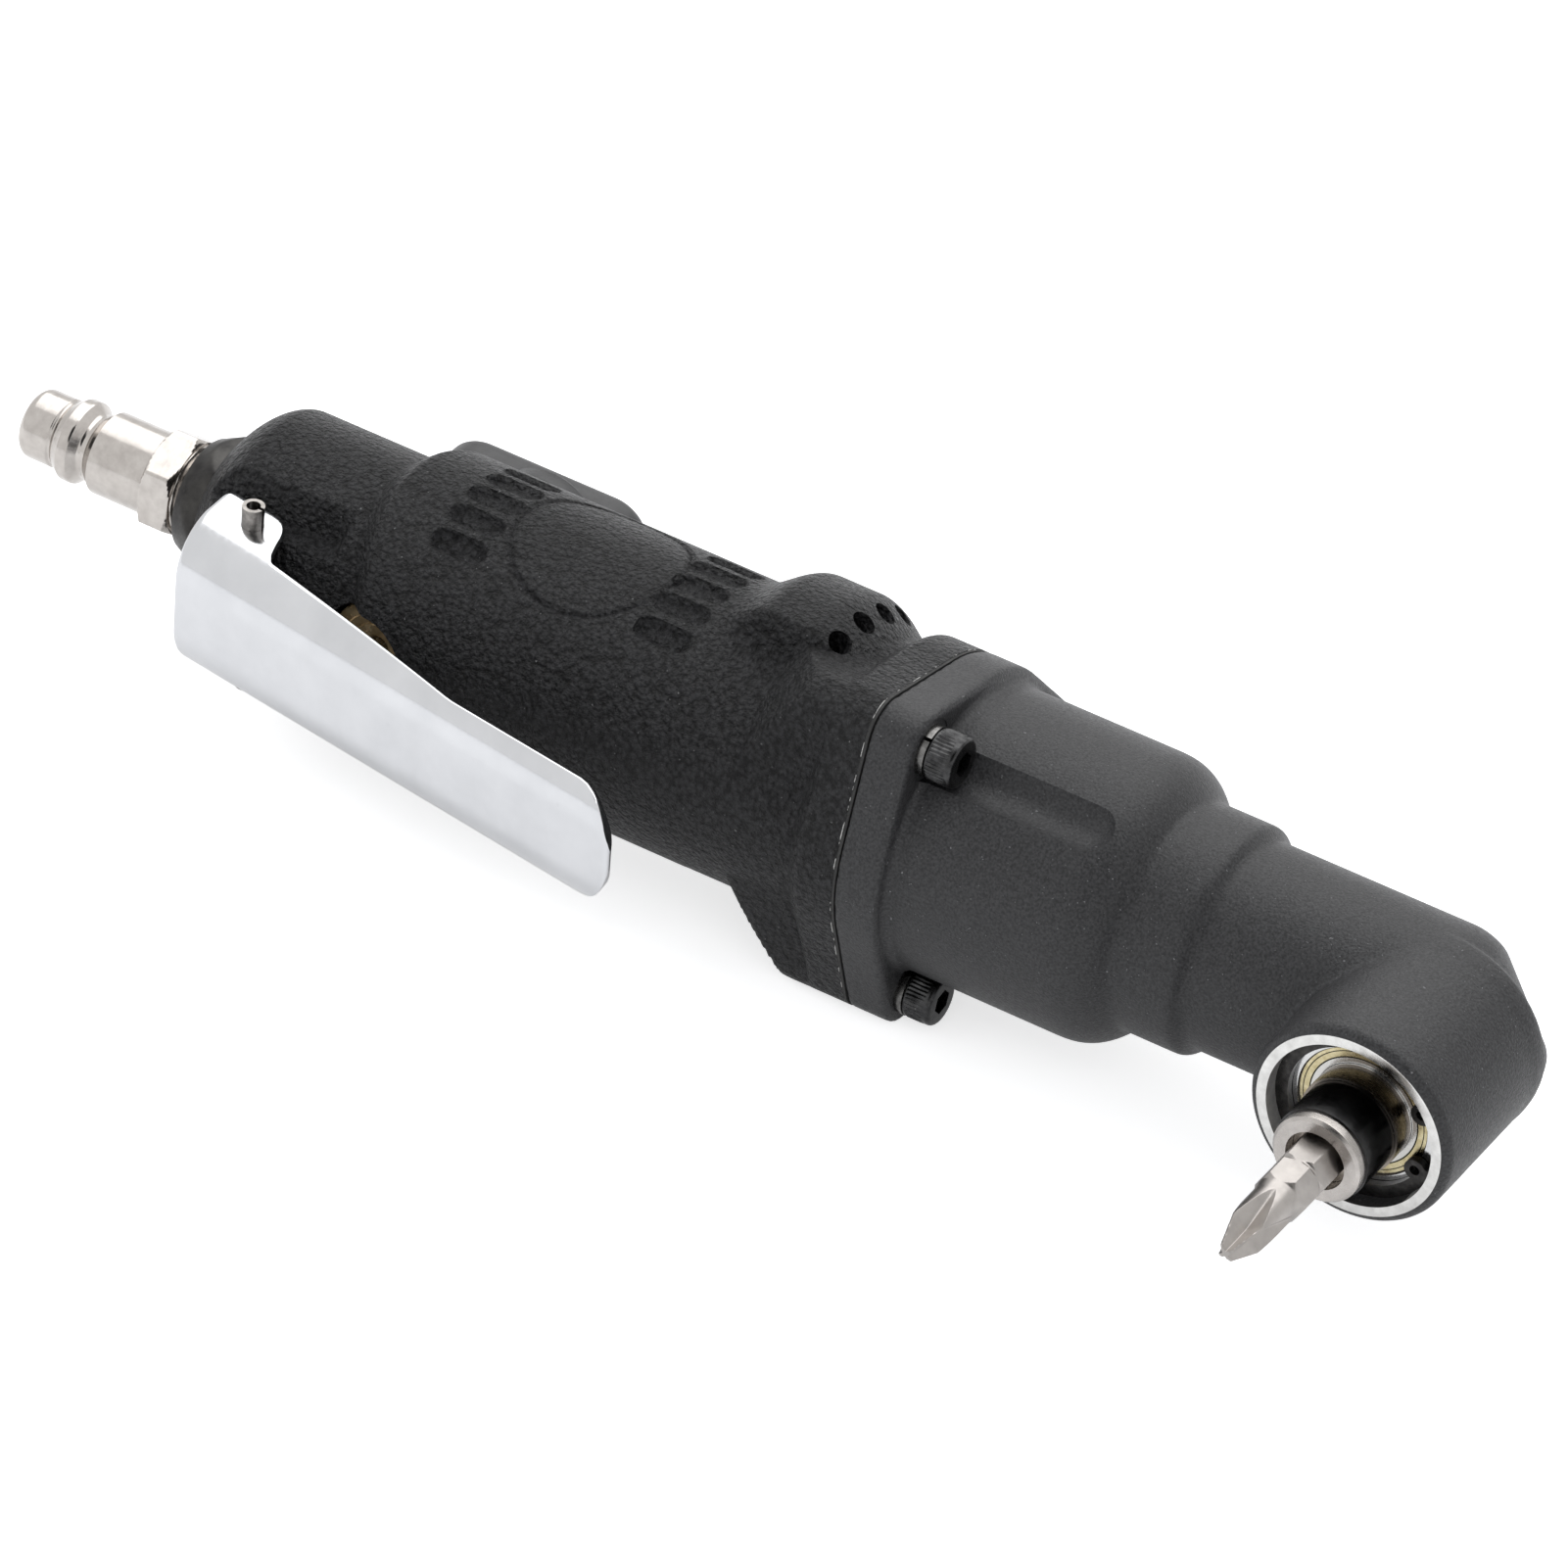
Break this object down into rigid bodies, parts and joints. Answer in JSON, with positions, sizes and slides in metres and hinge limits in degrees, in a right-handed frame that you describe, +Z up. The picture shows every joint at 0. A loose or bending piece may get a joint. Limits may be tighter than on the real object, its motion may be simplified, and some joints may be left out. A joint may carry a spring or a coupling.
{
  "type": "right-angle air screwdriver",
  "caption": "Compressed-air screwdriver with a lever throttle, a reversing knob, a right-angle head and a quick-change chuck with a cross-recess bit.",
  "frame": {"origin": "centre of the air plug nose face, on the main axis", "axes": "+X along the main axis to the angle head, the bit points along -Y, +Z up with the tool lying on its side"},
  "size_m": [0.2257, 0.0793, 0.0482],
  "materials": {
    "handle_black": "wrinkle-finish black paint",
    "case_black": "satin black paint over a sand casting",
    "knob_black": "satin black",
    "gasket": "grey fibre sheet",
    "screw_black": "black oxide",
    "sleeve_black": "black oxide, polished",
    "bushing_black": "black oxide",
    "nickel": "bright nickel plate",
    "lever_chrome": "polished",
    "pin_steel": "plain spring steel",
    "brass": "turned",
    "rubber": "matte",
    "steel": "ground",
    "spring_steel": "bright wire",
    "gear_steel": "hardened",
    "cast_grey": "honed",
    "alloy": "turned",
    "vane_fibre": "laminated fibre",
    "shield_gold": "yellow passivated steel",
    "bit_steel": "satin, warm grey",
    "ring_steel": "turned, warm grey",
    "magnet": "nickel plated"
  },
  "bodies": {
    "housing": {"handle_housing": "handle_black", "angle_head_housing": "case_black", "flange_gasket": "gasket", "case_screws": "screw_black", "spring_washers": "spring_steel", "air_plug": "nickel", "inlet_bushing": "bushing_black", "inlet_screen": "brass", "lever_pin": "pin_steel", "throttle_bushing": "brass", "throttle_spring": "spring_steel", "detent_ball": "steel", "detent_spring": "spring_steel", "rear_end_plate": "alloy", "motor_cylinder": "cast_grey", "front_end_plate": "alloy", "motor_clamp_ring": "alloy", "motor_bearing_outers": "steel", "motor_bearing_balls": "steel", "ring_gear": "gear_steel", "pinion_bearing_outers": "steel", "pinion_bearing_balls": "steel", "bearing_spacer": "alloy", "spindle_bush": "brass", "spindle_bearing_outer": "steel", "spindle_bearing_balls": "steel", "bearing_shield": "shield_gold", "circlip": "spring_steel", "sleeve_spring": "spring_steel"},
    "lever": {"trigger_lever": "lever_chrome"},
    "throttle": {"throttle_stem": "steel", "throttle_seal": "rubber"},
    "reverser": {"reverse_knob": "knob_black", "reverse_valve": "steel", "reverse_seal": "rubber", "knob_screw": "screw_black"},
    "motor_rotor": {"rotor": "gear_steel", "sun_gear": "gear_steel", "vanes": "vane_fibre", "motor_bearing_inners": "steel"},
    "carrier": {"planet_carrier": "gear_steel", "planet_pins": "steel", "pinion_shaft": "gear_steel", "pinion_bearing_inners": "steel"},
    "planet_1": {"planet_gear_1": "gear_steel"},
    "planet_2": {"planet_gear_2": "gear_steel"},
    "planet_3": {"planet_gear_3": "gear_steel"},
    "spindle": {"bevel_gear": "gear_steel", "spindle": "gear_steel", "spindle_bearing_inner": "steel", "sleeve_clip": "spring_steel", "lock_ball": "steel", "bit_magnet": "magnet"},
    "chuck_sleeve": {"chuck_sleeve": "sleeve_black", "nose_ring": "ring_steel"},
    "bit": {"bit": "bit_steel"}
  },
  "joints": [
    {"name": "lever_pivot", "type": "hinge", "parent": "housing", "child": "lever", "pos_m": [0.0436, -0.0144, 0], "axis": [0, 0, 1], "range_deg": [0, 9], "stiffness_Nm_per_rad": 0.6, "springref_deg": -5.73},
    {"name": "throttle_push", "type": "slide", "parent": "housing", "child": "throttle", "axis": [0, 1, 0], "range_m": [0, 0.0031], "deforming": ["throttle_spring"]},
    {"name": "reverse_turn", "type": "hinge", "parent": "housing", "child": "reverser", "pos_m": [0.0658, 0, 0], "axis": [0, 1, 0], "range_deg": [-40, 40]},
    {"name": "rotor_spin", "type": "hinge", "parent": "housing", "child": "motor_rotor", "pos_m": [0.1, 0, 0], "axis": [1, 0, 0], "continuous": true},
    {"name": "carrier_spin", "type": "hinge", "parent": "housing", "child": "carrier", "pos_m": [0.15, 0, 0], "axis": [1, 0, 0], "continuous": true},
    {"name": "planet_1_spin", "type": "hinge", "parent": "carrier", "child": "planet_1", "pos_m": [0.1423, 0.009, 0], "axis": [1, 0, 0], "continuous": true},
    {"name": "planet_2_spin", "type": "hinge", "parent": "carrier", "child": "planet_2", "pos_m": [0.1423, -0.0045, 0.00779], "axis": [1, 0, 0], "continuous": true},
    {"name": "planet_3_spin", "type": "hinge", "parent": "carrier", "child": "planet_3", "pos_m": [0.1423, -0.0045, -0.00779], "axis": [1, 0, 0], "continuous": true},
    {"name": "spindle_spin", "type": "hinge", "parent": "housing", "child": "spindle", "pos_m": [0.2115, 0, 0], "axis": [0, -1, 0], "continuous": true},
    {"name": "sleeve_slide", "type": "slide", "parent": "spindle", "child": "chuck_sleeve", "axis": [0, -1, 0], "range_m": [0, 0.0015], "stiffness_N_per_m": 1500, "springref_m": -0.0005, "deforming": ["sleeve_spring"]},
    {"name": "bit_slide", "type": "slide", "parent": "spindle", "child": "bit", "axis": [0, -1, 0], "range_m": [0, 0.006]}
  ],
  "couplings": [
    {"joint": "throttle_push", "follows": "lever_pivot", "m_per_rad": 0.0191},
    {"joint": "carrier_spin", "follows": "rotor_spin", "ratio": 0.25},
    {"joint": "planet_1_spin", "follows": "rotor_spin", "ratio": -0.75},
    {"joint": "planet_2_spin", "follows": "rotor_spin", "ratio": -0.75},
    {"joint": "planet_3_spin", "follows": "rotor_spin", "ratio": -0.75},
    {"joint": "spindle_spin", "follows": "rotor_spin", "ratio": 0.15}
  ]
}
